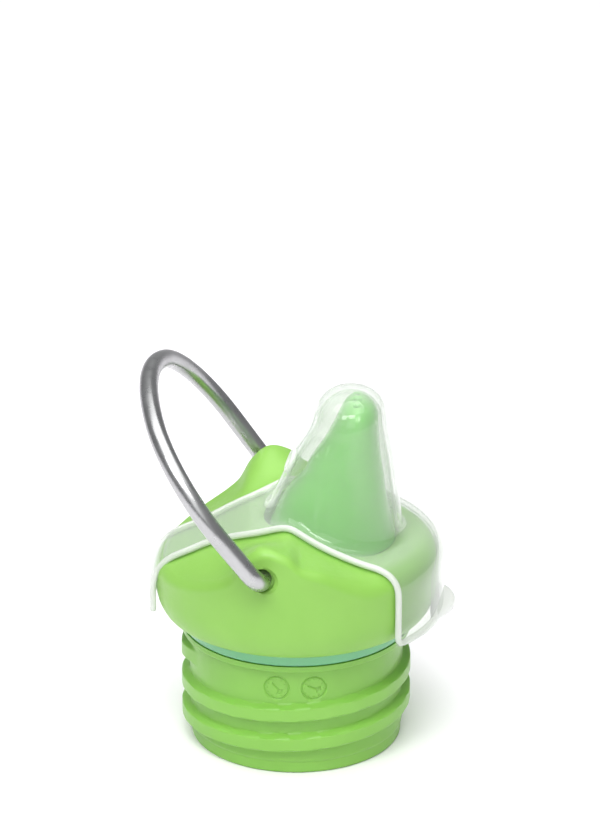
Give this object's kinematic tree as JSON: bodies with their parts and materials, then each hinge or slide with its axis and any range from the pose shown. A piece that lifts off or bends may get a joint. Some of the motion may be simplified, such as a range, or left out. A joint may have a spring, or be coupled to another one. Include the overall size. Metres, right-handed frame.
{
  "type": "sippy cap",
  "caption": "Screw-in drinking cap for a wide-mouth children's bottle, with a soft spout, a clear lift-off dust cover and a swinging wire carry bail.",
  "frame": {"origin": "thread axis at the plane of the plug's bottom rim", "axes": "+Z along the thread axis towards the spout's tip, +X from the thread axis towards the spout, +Y along the bail's pivot axis"},
  "size_m": [0.0584, 0.063, 0.0724],
  "materials": {
    "plug_plastic": "satin moulded polypropylene",
    "seal_silicone": "satin translucent silicone",
    "shell_plastic": "satin moulded polypropylene",
    "spout_silicone": "glossy translucent silicone",
    "cover_plastic": "clear, slightly milky polypropylene",
    "bail_wire": "satin stainless wire"
  },
  "bodies": {
    "cap": {"threaded_plug": "plug_plastic", "neck_seal": "seal_silicone", "cap_shell": "shell_plastic", "spout": "spout_silicone"},
    "cover": {"dust_cover": "cover_plastic"},
    "bail": {"bail": "bail_wire"}
  },
  "joints": [
    {"name": "bail_swing", "type": "hinge", "parent": "cap", "child": "bail", "pos_m": [-0.0058, 0, 0.0417], "axis": [0, 1, 0], "range_deg": [-100, 125]},
    {"name": "cover_lift", "type": "slide", "parent": "cap", "child": "cover", "axis": [0, 0, 1], "range_m": [0, 0.028]}
  ]
}
